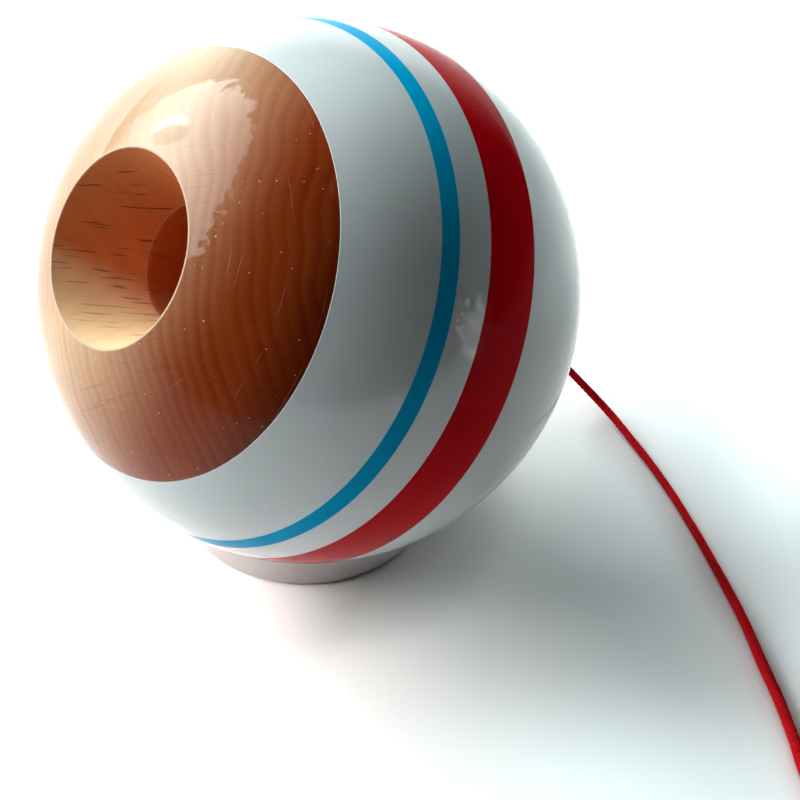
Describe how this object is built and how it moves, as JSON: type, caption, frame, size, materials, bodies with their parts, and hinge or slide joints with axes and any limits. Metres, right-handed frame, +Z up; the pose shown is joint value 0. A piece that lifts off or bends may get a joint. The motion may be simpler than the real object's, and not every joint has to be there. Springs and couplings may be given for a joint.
{
  "type": "cup and ball toy",
  "caption": "Wooden kendama: a striped ball with a bored spike hole rests on a ring, tied by a thin cord to a handle with cups and a spike.",
  "frame": {"origin": "on the table, under the middle of the box round the ball and the standing ken", "axes": "+Z up along the ken, +X from the ball towards the ken, +Y away from the viewer along the crosspiece"},
  "size_m": [0.136, 0.0899, 0.178],
  "materials": {
    "ball_beech": "clear lacquered beech, end grain round the bore, glossy",
    "white_lacquer": "white gloss lacquer",
    "blue_paint": "cyan blue gloss lacquer",
    "red_paint": "deep red gloss lacquer",
    "bead_wood": "plain turned wood",
    "red_cord": "braided polyester cord",
    "cotton_tie": "undyed cotton tape",
    "ken_beech": "clear lacquered beech, satin",
    "ring_plastic": "off-white satin plastic"
  },
  "bodies": {
    "ken_and_ring": {"ken": "ken_beech", "ken_knot": "red_cord", "rest_ring": "ring_plastic", "cord_run": "red_cord", "cord_coil": "red_cord", "coil_tie": "cotton_tie", "cord_drop": "red_cord"},
    "cord_end": {"cord_in_ball": "red_cord", "bead_knot": "red_cord"},
    "ball": {"ball_core": "ball_beech", "white_lacquer": "white_lacquer", "blue_stripe": "blue_paint", "red_stripe": "red_paint"},
    "bead": {"bead": "bead_wood"},
    "sarado": {"sarado": "ken_beech"}
  },
  "joints": [
    {"name": "ball_lift", "type": "slide", "parent": "ken_and_ring", "child": "cord_end", "axis": [0, 0, 1], "range_m": [0, 0.06], "deforming": ["cord_run"]},
    {"name": "ball_spin", "type": "hinge", "parent": "cord_end", "child": "ball", "pos_m": [-0.038, 0, 0.03171], "axis": [-0.7149, -0.4178, 0.5606], "continuous": true},
    {"name": "bead_spin", "type": "hinge", "parent": "cord_end", "child": "bead", "pos_m": [-0.038, 0, 0.03171], "axis": [-0.7149, -0.4178, 0.5606], "continuous": true},
    {"name": "sarado_pull", "type": "slide", "parent": "ken_and_ring", "child": "sarado", "axis": [0, 0, 1], "range_m": [0, 0.1]}
  ]
}
